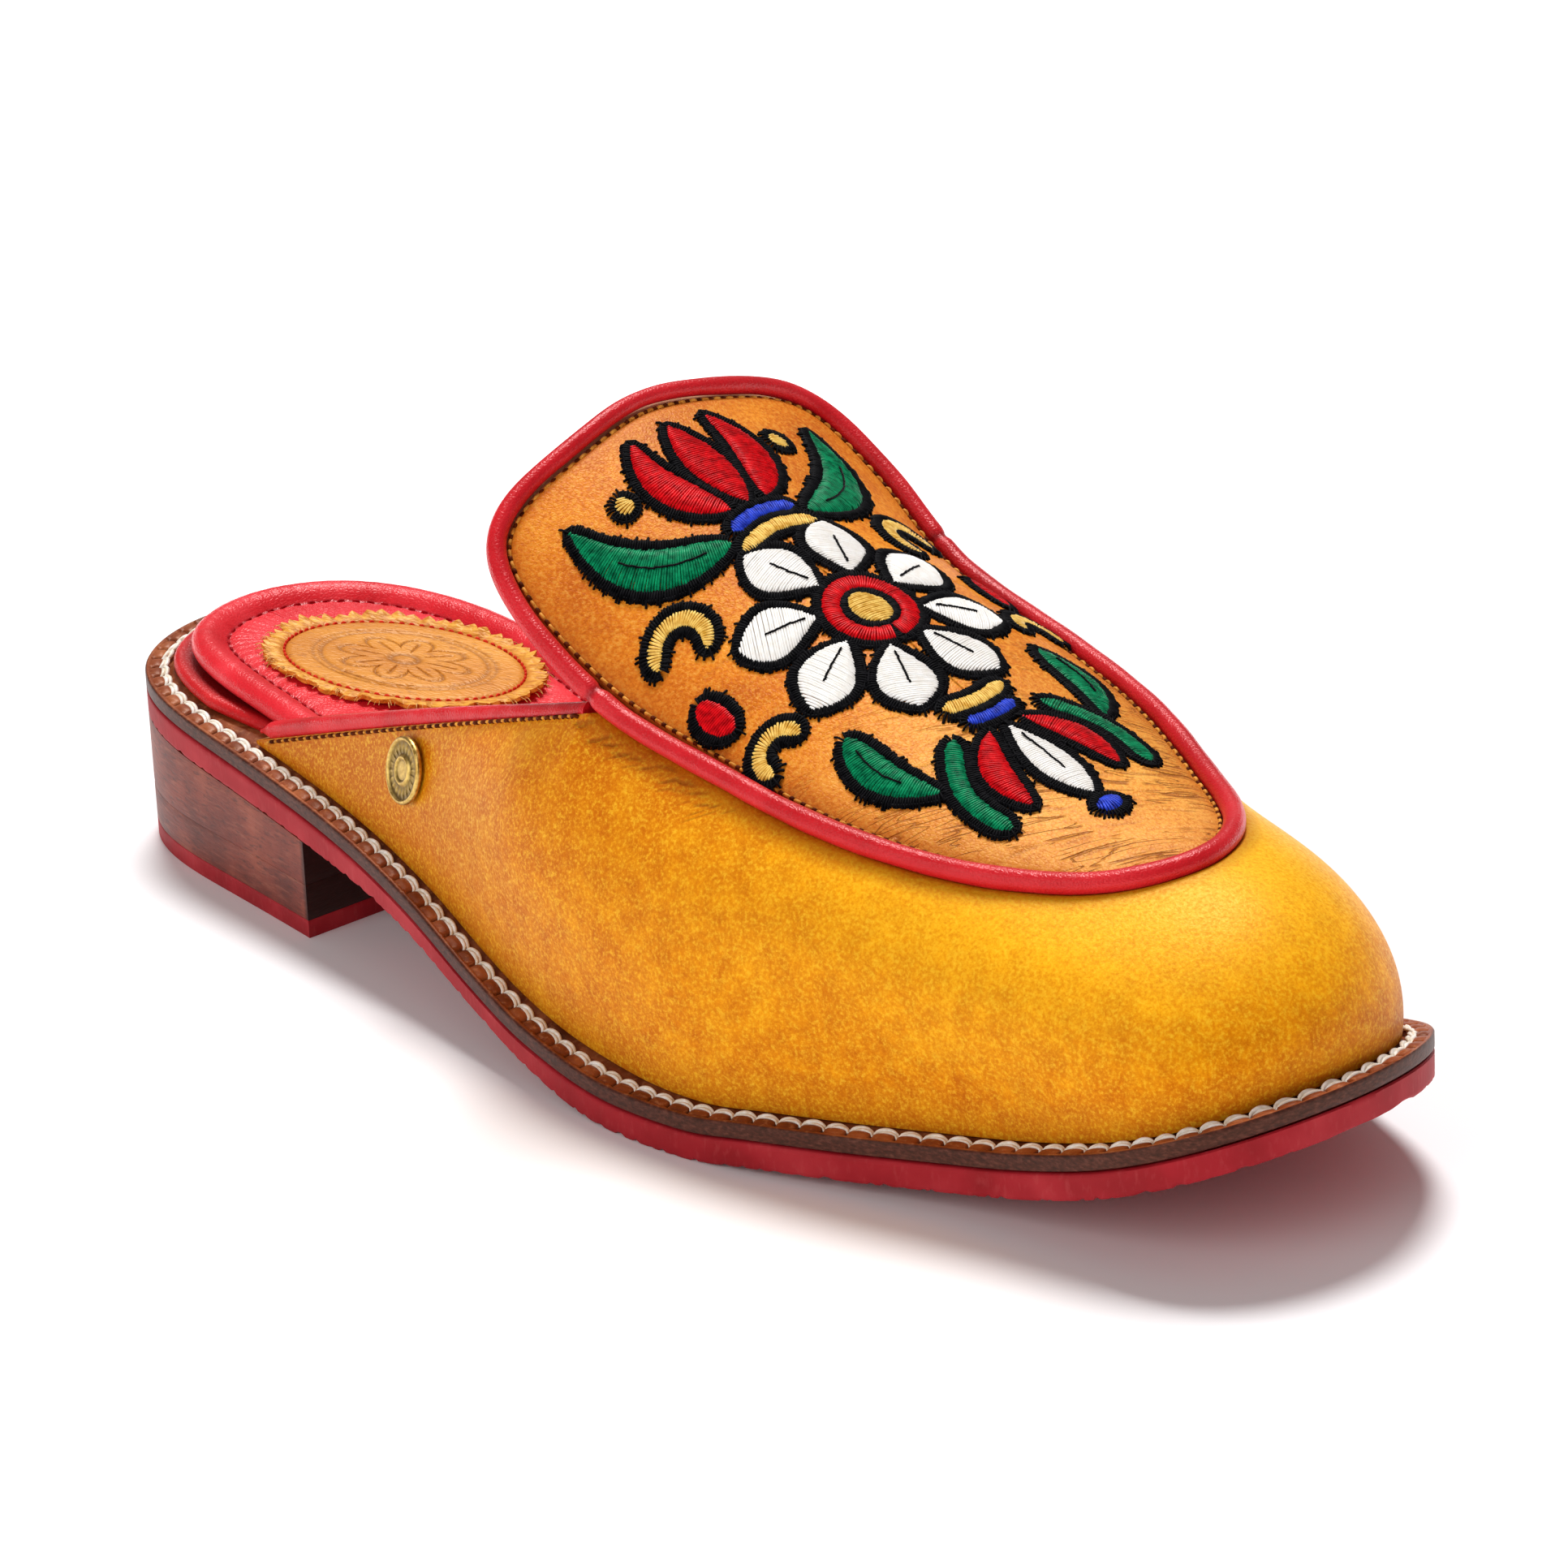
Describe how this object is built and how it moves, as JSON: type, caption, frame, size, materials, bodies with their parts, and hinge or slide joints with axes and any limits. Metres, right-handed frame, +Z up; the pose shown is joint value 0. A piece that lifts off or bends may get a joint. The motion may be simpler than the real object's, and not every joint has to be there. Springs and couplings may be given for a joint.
{
  "type": "mule shoe",
  "caption": "Backless leather mule, right foot: mustard vamp, decorated apron and tongue in a red piped seam, red edged toplines, welted sole on a stacked block heel.",
  "frame": {"origin": "centre of the bounding box in plan, on the floor that the shoe stands on", "axes": "+X from the heel to the toe, +Y to the medial side (the side that faces the other foot), +Z up"},
  "size_m": [0.2722, 0.0966, 0.0955],
  "materials": {
    "vamp_leather": "satin",
    "plug_leather": "satin",
    "red_leather": "satin",
    "welt_leather": "satin",
    "heel_leather": "satin",
    "red_rubber": "matte",
    "tan_leather": "satin",
    "brass": "satin"
  },
  "bodies": {
    "root": {"outsole": "red_rubber", "welt": "welt_leather", "top_lift": "red_rubber", "heel_lift_lower": "heel_leather", "heel_lift_upper": "heel_leather", "upper": "vamp_leather", "plug": "plug_leather", "plug_piping": "red_leather", "topline_binding_inner": "red_leather", "topline_binding_outer": "red_leather", "insole": "red_leather", "heel_sock": "red_leather", "heel_patch": "tan_leather", "rivet": "brass"}
  },
  "joints": []
}
